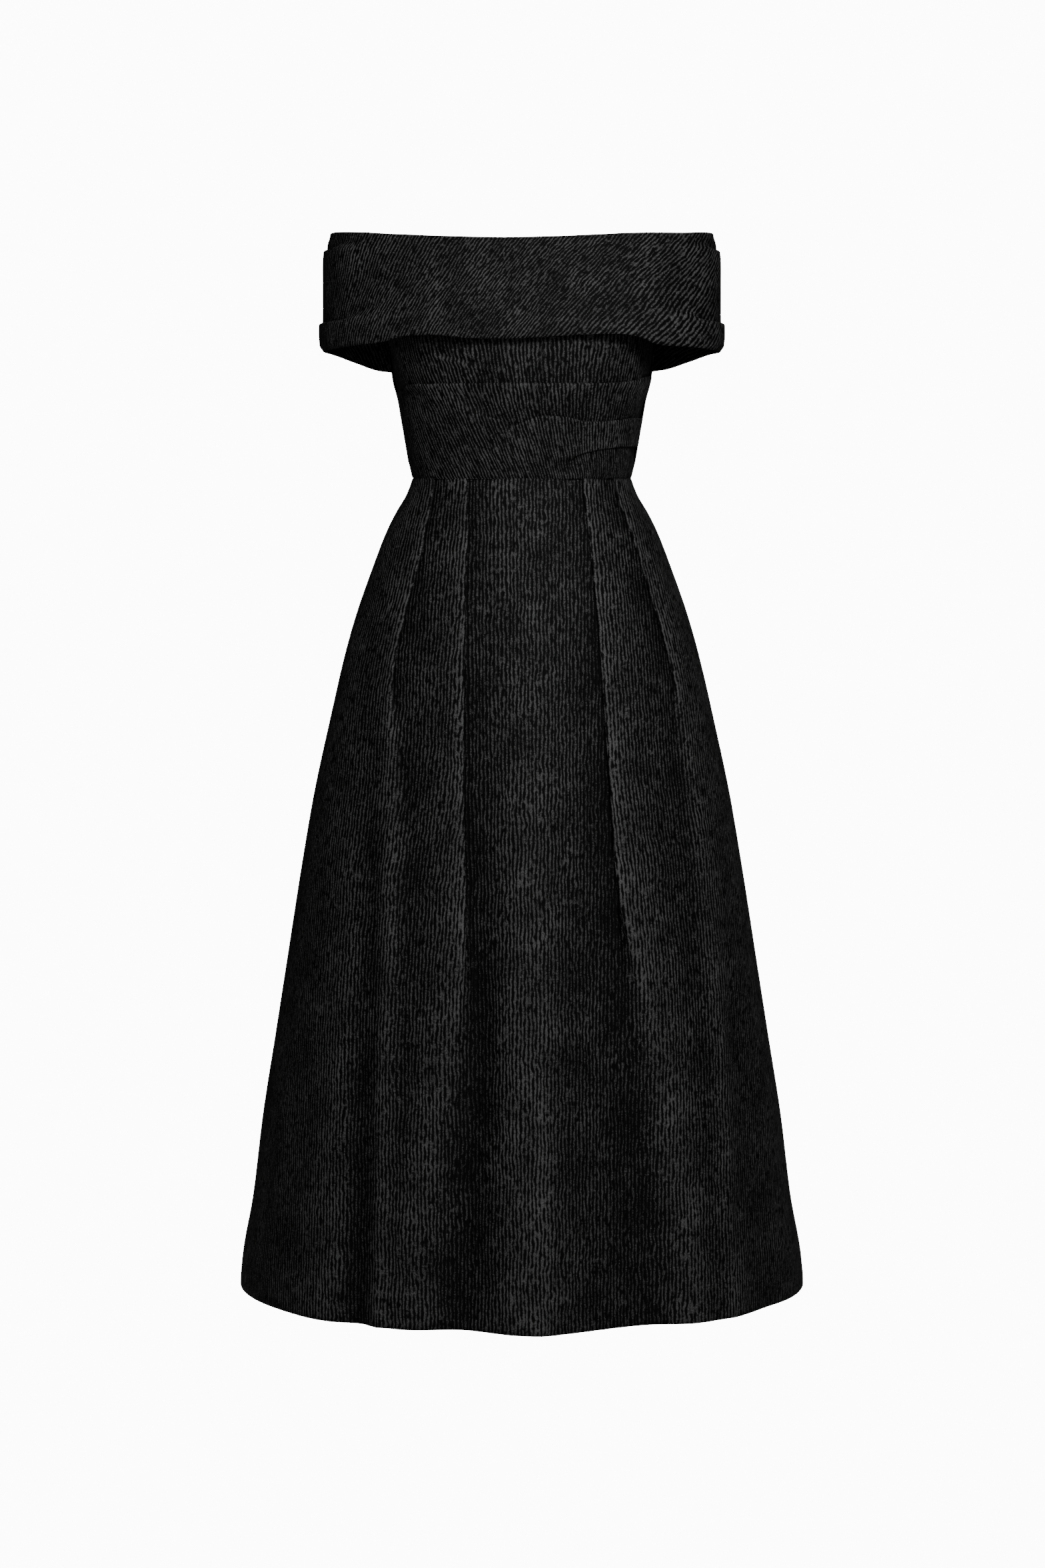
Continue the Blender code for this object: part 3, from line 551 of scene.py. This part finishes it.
Crease = namedtuple("Crease", "startX startHeight endX endHeight bow width lift")
bodiceCreases = [
    Crease(-0.092, 0.1300, -0.020, 0.1118, -0.0035, 0.0022, 0.0016),
    Crease(-0.092, 0.1345, -0.020, 0.1158, -0.0035, 0.0030, -0.0012),
    Crease(0.036, 0.1425, 0.112, 0.1370, -0.0015, 0.0018, 0.0012),
    Crease(-0.132, 0.0930, -0.100, 0.0900, -0.0040, 0.0050, -0.0022),
    Crease(-0.126, 0.0790, -0.070, 0.0480, 0.0060, 0.0060, -0.0010),
    Crease(-0.110, 0.0880, -0.050, 0.0600, 0.0060, 0.0070, 0.0010),
    Crease(0.020, 0.0600, 0.070, 0.0120, 0.0020, 0.0060, 0.0009),
    Crease(0.070, 0.0950, 0.125, 0.0900, -0.0010, 0.0040, -0.0010),
]


def creaseLift(creases, x, height):
    # each crease is a ridge or trough along a bowed line: lift exp(-(d / width)^2), faded near both its ends
    lift = np.zeros(np.broadcast_shapes(np.shape(x), np.shape(height)))
    for crease in creases:
        t = (x - crease.startX) / (crease.endX - crease.startX)
        line = crease.startHeight + (crease.endHeight - crease.startHeight) * t + crease.bow * 4 * t * (1 - t)
        fade = np.clip(t / cloth["creaseFade"], 0, 1) * np.clip((1 - t) / cloth["creaseFade"], 0, 1)
        lift = lift + crease.lift * fade * np.exp(-(((height - line) / crease.width) ** 2))
    return lift


def bodiceFront():
    spans = cloth["bodiceSpans"]
    angle = sideAngles(cloth["bodiceColumns"], bodiceRings, cloth["bodiceLevel"], -1)
    x, _ = ringPoints(bodiceRings, np.full_like(angle, cloth["bodiceLevel"]), angle, -1)
    foot = tuck(bodiceBandFoot, x, False)
    lower = tuck(bodiceLowerTuck, x, True)
    upper = tuck(bodiceUpperTuck, x, True)
    waist = (np.full_like(x, -cloth["seamLap"]), np.zeros_like(x))
    top = (bodiceTopAt(x, -1), np.zeros_like(x))
    height, depth = joined([
        waist,
        span(waist, ends(foot, 0), spans["waist"]),
        foot,
        span(ends(foot, -1), ends(lower, 0), spans["lower"]),
        lower,
        span(ends(lower, -1), ends(upper, 0), spans["middle"]),
        upper,
        span(ends(upper, -1), top, spans["top"]),
        top,
    ])
    depth = depth + creaseLift(bodiceCreases, x, height)
    points = place(bodiceRings, height, angle, depth + seamGroove(height, cloth["seamLap"]), -1)
    return (points.transpose(1, 0, 2), ribCoordinates(bodiceRibs, points, bodiceRings, -1).transpose(1, 0, 2),
            paintedShadingOf(height, depth).T * cloth["topPaintedShading"])


def bodiceBack(side):
    level = cloth["bodiceLevel"]
    count = cloth["bodiceBackCount"]
    speed = ringFrame(bodiceRings, np.array([level]), np.array([0.0]), 1)[4][0]
    end = sideAngles(2, bodiceRings, level, 1)[1, 0]
    angle = side * np.linspace(cloth["seamGap"] / 2 / speed, end, count)[:, None]
    x, _ = ringPoints(bodiceRings, np.full_like(angle, cloth["bodiceBackLevel"]), angle, 1)
    t = np.linspace(0, 1, count)
    height = -cloth["seamLap"] + (bodiceTopAt(x, 1) + cloth["seamLap"]) * t ** cloth["bodiceBackGrowth"]
    points = place(bodiceRings, height, angle, seamGroove(height, cloth["seamLap"]), 1)
    return (points.transpose(1, 0, 2), ribCoordinates(plainRibs, points, bodiceRings, 1).transpose(1, 0, 2),
            np.zeros((count, count)))


def bandHalf(edges, facing, ribs):
    spans = cloth["bandSpans"]
    angle = sideAngles(cloth["bandColumns"], bandRings, cloth["bandLevel"], facing)
    x, _ = ringPoints(bandRings, np.full_like(angle, cloth["bandLevel"]), angle, facing)
    at = readTable(edges, "x", x)
    lower = tuck(bandLowerTuck, x, True)
    upper = tuck(bandUpperTuck, x, True)
    foot = (at.lower, np.zeros_like(x))
    top = (at.upper, upper[1][:, -1:] * cloth["bandTopShare"])
    level = np.zeros_like(x)
    height, depth = joined([
        foot,
        span(foot, (lower[0][:, :1], level), spans["foot"]),
        lower,
        span(ends(lower, -1), (upper[0][:, :1], level), spans["middle"]),
        upper,
        span(ends(upper, -1), top, spans["top"]),
        top,
    ])
    points = place(bandRings, height, angle, depth, facing)
    return (points.transpose(1, 0, 2), ribCoordinates(ribs, points, bandRings, facing).transpose(1, 0, 2),
            paintedShadingOf(height, depth).T * cloth["topPaintedShading"])


# which way the cloth's ribs run, in degrees from level as seen from outside, and how coarse they are
RibAt = namedtuple("RibAt", "across height angle coarseness")
bandRibs = [
    RibAt(-0.240, 0.20, 88, 0.85),
    RibAt(-0.200, 0.20, 82, 0.85),
    RibAt(-0.150, 0.20, 68, 0.80),
    RibAt(-0.090, 0.20, 56, 0.80),
    RibAt(0.000, 0.20, 48, 0.75),
    RibAt(0.090, 0.22, 44, 0.75),
    RibAt(0.100, 0.16, 40, 0.95),
    RibAt(0.150, 0.23, 40, 0.85),
    RibAt(0.160, 0.17, 36, 1.25),
    RibAt(0.210, 0.23, 42, 0.95),
    RibAt(0.210, 0.17, 42, 1.30),
    RibAt(0.250, 0.16, 60, 1.15),
]
bandBackRibs = [
    RibAt(-0.240, 0.18, 120, 1.0),
    RibAt(-0.120, 0.18, 115, 1.0),
    RibAt(0.000, 0.18, 90, 1.0),
    RibAt(0.120, 0.18, 30, 1.0),
    RibAt(0.240, 0.18, 12, 1.0),
]
bodiceRibs = [
    RibAt(-0.160, 0.03, 96, 1.0),
    RibAt(-0.160, 0.08, 104, 1.0),
    RibAt(-0.100, 0.08, 118, 1.0),
    RibAt(-0.100, 0.03, 110, 1.0),
    RibAt(-0.040, 0.07, 112, 1.0),
    RibAt(-0.040, 0.02, 122, 1.0),
    RibAt(0.020, 0.04, 124, 1.0),
    RibAt(0.020, 0.08, 98, 1.0),
    RibAt(0.080, 0.02, 118, 1.0),
    RibAt(0.080, 0.06, 100, 1.0),
    RibAt(0.150, 0.03, 92, 1.0),
    RibAt(0.150, 0.10, 88, 1.0),
    RibAt(-0.150, 0.13, 92, 1.0),
    RibAt(-0.050, 0.12, 92, 1.0),
    RibAt(0.050, 0.12, 90, 1.0),
    RibAt(0.000, 0.18, 90, 1.0),
]
plainRibs = [RibAt(0.0, 0.1, 90, 1.0), RibAt(0.1, 0.1, 90, 1.0)]


ribGrid = {"columns": 61, "rows": 25, "samples": 400, "level": 0.12, "spread": 0.030, "least": 1e-9}


def ribCoordinates(table, points, rings, facing):
    # Two coordinates whose slopes are as near as can be to unit vectors across and along the ribs. On a level
    # grid over the piece they solve the least squares of slope minus wish, and the piece reads them from it.
    across = np.arctan2(points[..., 0], facing * points[..., 1])
    fine = np.linspace(-math.pi / 2, math.pi / 2, ribGrid["samples"])
    x, y = ringPoints(rings, np.full_like(fine, ribGrid["level"]), fine, facing)
    travelled = np.concatenate([[0], np.cumsum(np.hypot(np.diff(x), np.diff(y)))])
    travelled -= np.interp(0, fine, travelled)
    across = np.interp(across, fine, travelled)
    height = points[..., 2]
    columns = ribGrid["columns"]
    rows = ribGrid["rows"]
    gridX = np.linspace(across.min(), across.max(), columns)
    gridZ = np.linspace(height.min(), height.max(), rows)
    stepX = gridX[1] - gridX[0]
    stepZ = gridZ[1] - gridZ[0]
    meshX, meshZ = np.meshgrid(gridX, gridZ)
    weight = np.zeros_like(meshX)
    angle = np.zeros_like(meshX)
    coarse = np.zeros_like(meshX)
    for rib in table:
        apart = (meshX - rib.across) ** 2 + (meshZ - rib.height) ** 2
        near = np.exp(-apart / (2 * ribGrid["spread"] ** 2)) + ribGrid["least"]
        weight += near
        angle += near * math.radians(rib.angle)
        coarse += near * rib.coarseness
    angle /= weight
    coarse /= weight
    index = np.arange(rows * columns).reshape(rows, columns)
    pairs = ((index[:, :-1].ravel(), index[:, 1:].ravel(), stepX), (index[:-1].ravel(), index[1:].ravel(), stepZ))
    wishes = ((np.sin(angle), np.cos(angle)), (-np.cos(angle), np.sin(angle)))
    size = rows * columns
    matrix = np.zeros((size, size))
    answers = np.zeros((size, 2))
    for (first, second, step), wish in zip(pairs, wishes):
        matrix[first, first] += 1
        matrix[second, second] += 1
        matrix[first, second] -= 1
        matrix[second, first] -= 1
        for which in (0, 1):
            slope = (wish[which] / coarse).ravel()
            jump = (slope[first] + slope[second]) / 2 * step
            np.add.at(answers[:, which], second, jump)
            np.add.at(answers[:, which], first, -jump)
    matrix[0, 0] += 1
    solved = np.linalg.solve(matrix, answers).reshape(rows, columns, 2)
    placeX = np.clip((across - gridX[0]) / stepX, 0, columns - 1.001)
    placeZ = np.clip((height - gridZ[0]) / stepZ, 0, rows - 1.001)
    cellX = placeX.astype(int)
    cellZ = placeZ.astype(int)
    tX = (placeX - cellX)[..., None]
    tZ = (placeZ - cellZ)[..., None]
    lower = solved[cellZ, cellX] * (1 - tX) + solved[cellZ, cellX + 1] * tX
    upper = solved[cellZ + 1, cellX] * (1 - tX) + solved[cellZ + 1, cellX + 1] * tX
    return lower * (1 - tZ) + upper * tZ


# materials
class Value:
    # a socket in a material, so that sums can be written as sums
    def __init__(self, maker, socket):
        self.maker = maker
        self.socket = socket

    def other(self, output):
        # another output of the same node
        return Value(self.maker, self.socket.node.outputs[output])

    def combine(self, operation, first, second):
        return self.maker.add("ShaderNodeMath", {"operation": operation}, {0: first, 1: second})

    def __add__(self, other):
        return self.combine("ADD", self, other)

    def __sub__(self, other):
        return self.combine("SUBTRACT", self, other)

    def __rsub__(self, other):
        return self.combine("SUBTRACT", other, self)

    def __mul__(self, other):
        return self.combine("MULTIPLY", self, other)

    def __truediv__(self, other):
        return self.combine("DIVIDE", self, other)

    def sine(self):
        return self.combine("SINE", self, 0)

    __radd__ = __add__
    __rmul__ = __mul__


class NodeMaker:
    # makes the nodes of one material, or of the world
    def __init__(self, owner):
        self.owner = owner
        owner.use_nodes = True
        self.tree = owner.node_tree
        self.shader = self.tree.nodes.get("Principled BSDF")

    def add(self, kind, settings=None, inputs=None, output=0):
        node = self.tree.nodes.new(kind)
        for key, value in (settings or {}).items():
            setattr(node, key, value)
        for key, value in (inputs or {}).items():
            self.give(node.inputs[key], value)
        return Value(self, node.outputs[output])

    def give(self, socket, value):
        if isinstance(value, Value):
            self.tree.links.new(value.socket, socket)
        else:
            socket.default_value = value

    def noise(self, x, y, detail=0.0, seed=0.0):
        where = self.add("ShaderNodeCombineXYZ", {}, {"X": x, "Y": y, "Z": seed})
        return self.add("ShaderNodeTexNoise", {},
                        {"Vector": where, "Scale": 1.0, "Detail": detail, "Roughness": 0.5})

    def between(self, value, low, high):
        # 0 below low, 1 above high, smooth between
        return self.add("ShaderNodeMapRange", {"interpolation_type": "SMOOTHSTEP"},
                        {"Value": value, "From Min": low, "From Max": high})

    def mixColour(self, factor, first, second):
        return self.add("ShaderNodeMix", {"data_type": "RGBA"}, {0: factor, 6: first, 7: second}, 2)


# scales are per millimetre, and for strands and breaks per rib
clothNoise = {
    "drift": {"across": 0.045, "along": 0.022, "detail": 1.0, "seed": 3.0},
    "wiggle": {"across": 0.14, "along": 0.10, "detail": 1.0, "seed": 7.0},
    "strands": {"across": 1.55, "along": 0.36, "detail": 1.0, "seed": 11.0},
    "breaks": {"across": 1.0, "along": 1.0, "detail": 1.0, "seed": 19.0},
    "patches": {"across": 0.03, "along": 0.02, "detail": 2.0, "seed": 23.0},
    "grain": {"across": 1.1, "along": 0.7, "detail": 2.0, "seed": 31.0},
}


def crinkleCloth(name, look):
    # ribs run along the second cloth coordinate, in millimetres, pushed aside by slow noise and broken by fast
    # noise; painted shading widens the ribs' light tops and lightens the cloth where it stands out (painted
    # highlight), and darkens it in hollows and under other layers (painted shade)
    maker = NodeMaker(bpy.data.materials.new(name))

    def noise(kind, x, y, unit=1.0):
        scale = clothNoise[kind]
        return maker.noise(x * (scale["across"] / unit), y * (scale["along"] / unit), scale["detail"],
                           scale["seed"]) - 0.5

    cut = maker.add("ShaderNodeSeparateXYZ", {}, {0: maker.add("ShaderNodeUVMap", {"uv_map": "cloth"})})
    across = cut * 1000
    along = cut.other(1) * 1000
    drift = noise("drift", across, along)
    wiggle = noise("wiggle", across, along)
    pushed = across + drift * look["drift"] + wiggle * look["wiggle"]
    pitch = look["pitch"]
    comb = (pushed * (2 * math.pi / pitch)).sine()
    strands = noise("strands", pushed, along, pitch)
    breaks = noise("breaks", pushed, along, pitch)
    # painted shading from the second UV map: above 0 where the cloth stands out, below 0 in hollows and under other
    # layers
    paintedFoldShading = maker.add("ShaderNodeSeparateXYZ", {}, {0: maker.add("ShaderNodeUVMap", {"uv_map": "paintedFoldShading"})})
    height = comb * look["comb"] + strands * look["strands"] + breaks * look["breaks"] + paintedFoldShading * look["paintedShadingOnRidges"]
    ridge = maker.between(height, look["groove"], look["groove"] + look["softness"])
    patches = noise("patches", across, along)
    grain = noise("grain", across, along)
    # ridge tone: random patches and grain, plus painted highlight and painted shade from the painted shading
    lit = patches * look["patches"] + grain * look["grain"] + paintedFoldShading * look["paintedShadingTone"] + look["lit"]
    tone = maker.mixColour(lit, look["ridgeDark"], look["ridgeLight"])
    # grooves are near-black: partly the cloth's dark ground, partly painted shade in the grooves
    colour = maker.mixColour(ridge, look["grooveDarkAndPaintedShade"], tone)
    maker.give(maker.shader.inputs["Base Color"], colour)
    relief = ridge + height * look["reliefHeight"] + grain * look["reliefGrain"]
    bump = maker.add("ShaderNodeBump", {},
                     {"Strength": look["bump"], "Distance": look["relief"], "Height": relief})
    maker.give(maker.shader.inputs["Normal"], bump)
    maker.shader.inputs["Roughness"].default_value = look["roughness"]
    maker.shader.inputs["Specular IOR Level"].default_value = look["specular"]
    return maker.owner


clothLook = {
    "pitch": 4.0, "drift": 5.0, "wiggle": 3.0, "comb": 0.6, "strands": 2.8, "breaks": 1.8,
    "groove": -0.35, "softness": 0.9, "lit": 0.42, "patches": 1.0, "grain": 2.6,
    "paintedShadingOnRidges": 0.25, "paintedShadingTone": 0.25,
    "grooveDarkAndPaintedShade": (0.0002, 0.0002, 0.0002, 1.0),
    "ridgeDark": (0.003, 0.003, 0.003, 1.0), "ridgeLight": (0.075, 0.075, 0.075, 1.0),
    "bump": 0.9, "relief": 0.0008, "reliefHeight": 0.25, "reliefGrain": 0.15,
    "roughness": 0.75, "specular": 0.08,
}


def addCloth(name, surface, wall, material, nodes):
    points, coordinates, paintedShading = surface
    rows, columns = points.shape[:2]
    index = np.arange(rows * columns).reshape(rows, columns)
    faces = np.stack([index[:-1, :-1], index[:-1, 1:], index[1:, 1:], index[1:, :-1]], axis=-1).reshape(-1, 4)
    normal = np.cross(points[0, 1] - points[0, 0], points[1, 0] - points[0, 0])
    if (normal[:2] * points[0, 0, :2]).sum() < 0:
        faces = faces[:, ::-1]
    mesh = bpy.data.meshes.new(name)
    mesh.from_pydata(points.reshape(-1, 3).tolist(), [], faces.tolist())
    layer = mesh.uv_layers.new(name="cloth")
    layer.data.foreach_set("uv", coordinates.reshape(-1, 2)[faces.reshape(-1)].astype(np.float32).ravel())
    # a second UV map carries the painted shading (painted highlight and painted shade) into the material
    paintedShadingLayer = mesh.uv_layers.new(name="paintedFoldShading")
    shade = np.stack([paintedShading, np.zeros_like(paintedShading)], axis=-1).reshape(-1, 2)[faces.reshape(-1)]
    paintedShadingLayer.data.foreach_set("uv", shade.astype(np.float32).ravel())
    mesh.shade_smooth()
    mesh.materials.append(material)
    piece = bpy.data.objects.new(name, mesh)
    bpy.context.scene.collection.objects.link(piece)
    solidify = piece.modifiers.new("wall", "SOLIDIFY")
    solidify.thickness = wall
    solidify.offset = 0
    solidify.use_even_offset = True
    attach(piece, "root")
    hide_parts(*nodes)
    print("made", name, len(faces), "faces")


blackCloth = crinkleCloth("blackCrinkle", clothLook)
bandCloth = crinkleCloth("blackCrinkleBand", clothLook)
addCloth("skirtFrontCloth", skirtFront(), cloth["wall"], blackCloth, ["skirt_front"])
for sideName, side in (("left", 1), ("right", -1)):
    addCloth("skirtBackCloth_" + sideName, skirtBack(side), cloth["wall"], blackCloth, ["skirt_back_" + sideName])
    addCloth("bodiceBackCloth_" + sideName, bodiceBack(side), cloth["wall"], blackCloth,
             ["bodice_back_" + sideName])
addCloth("bodiceFrontCloth", bodiceFront(), cloth["wall"], blackCloth, ["bodice_front"])
addCloth("bandFrontCloth", bandHalf(bandFrontEdges, -1, bandRibs), cloth["bandWall"], bandCloth, ["collar_front"])
addCloth("bandBackCloth", bandHalf(bandBackEdges, 1, bandBackRibs), cloth["bandWall"], bandCloth, ["collar_back"])


# zip tape keeps its CAD solid
tapeLook = {
    "weave": 900.0, "dark": (0.006, 0.006, 0.006, 1.0), "light": (0.018, 0.018, 0.018, 1.0),
    "bump": 0.4, "relief": 0.0002, "roughness": 0.7,
}


def zipTape(look):
    maker = NodeMaker(bpy.data.materials.new("zipTape"))
    where = maker.add("ShaderNodeTexCoord", {}, {}, 3)
    weave = maker.add("ShaderNodeTexWave", {"bands_direction": "DIAGONAL"},
                      {"Vector": where, "Scale": look["weave"]}, 1)
    maker.give(maker.shader.inputs["Base Color"], maker.mixColour(weave, look["dark"], look["light"]))
    bump = maker.add("ShaderNodeBump", {},
                     {"Strength": look["bump"], "Distance": look["relief"], "Height": weave})
    maker.give(maker.shader.inputs["Normal"], bump)
    maker.shader.inputs["Roughness"].default_value = look["roughness"]
    return maker.owner


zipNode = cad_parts["back_zip"]
zipNode.data.materials.clear()
zipNode.data.materials.append(zipTape(tapeLook))


# studio
def addFloor():
    maker = NodeMaker(bpy.data.materials.new("whiteStage"))
    seen = maker.add("ShaderNodeLightPath")
    glow = maker.add("ShaderNodeEmission", {}, {"Color": studio["white"], "Strength": studio["backdropWhite"]})
    plain = maker.add("ShaderNodeBsdfDiffuse", {}, {"Color": studio["floorColour"]})
    mix = maker.add("ShaderNodeMixShader", {}, {0: seen, 1: plain, 2: glow})
    maker.give(maker.tree.nodes["Material Output"].inputs[0], mix)
    half = studio["floorHalf"]
    floorMesh = bpy.data.meshes.new("floor")
    low = studio["floorHeight"]
    floorMesh.from_pydata([(-half, -half, low), (half, -half, low), (half, half, low), (-half, half, low)], [],
                          [(0, 1, 2, 3)])
    floorMesh.materials.append(maker.owner)
    floor = bpy.data.objects.new("floor", floorMesh)
    bpy.context.scene.collection.objects.link(floor)


def addWorld():
    maker = NodeMaker(bpy.data.worlds.new("studio"))
    bpy.context.scene.world = maker.owner
    maker.tree.nodes.clear()
    seen = maker.add("ShaderNodeLightPath")
    room = maker.add("ShaderNodeBackground", {}, {"Color": studio["white"], "Strength": studio["roomLight"]})
    backdrop = maker.add("ShaderNodeBackground", {},
                         {"Color": studio["white"], "Strength": studio["backdropWhite"]})
    mix = maker.add("ShaderNodeMixShader", {}, {0: seen, 1: room, 2: backdrop})
    out = maker.tree.nodes.new("ShaderNodeOutputWorld")
    maker.give(out.inputs["Surface"], mix)


lamps = {
    "keyLamp": {"place": (0.38, -1.55, 0.75), "aim": (0, 0, 0.0), "size": 0.5, "power": 34},
    "fillLamp": {"place": (-0.6, -3.0, 0.2), "aim": (0, 0, -0.2), "size": 1.0, "power": 12},
}


def addLamps():
    for name, lamp in lamps.items():
        light = bpy.data.lights.new(name, "AREA")
        light.shape = "SQUARE"
        light.size = lamp["size"]
        light.energy = lamp["power"]
        holder = bpy.data.objects.new(name, light)
        bpy.context.scene.collection.objects.link(holder)
        toward = np.subtract(lamp["aim"], lamp["place"])
        holder.location = lamp["place"]
        holder.visible_camera = False
        flat = math.hypot(toward[0], toward[1])
        holder.rotation_euler = (math.atan2(flat, -toward[2]), 0, math.atan2(-toward[0], toward[1]))


def addCamera():
    camera = bpy.data.cameras.new("camera")
    camera.lens = studio["cameraLens"]
    camera.sensor_width = studio["sensorWidth"]
    holder = bpy.data.objects.new("camera", camera)
    bpy.context.scene.collection.objects.link(holder)
    holder.location = studio["cameraPlace"]
    holder.rotation_euler = (math.radians(studio["cameraPitch"]), 0, 0)
    bpy.context.scene.camera = holder


addFloor()
addWorld()
addLamps()
addCamera()
print("studio ready")
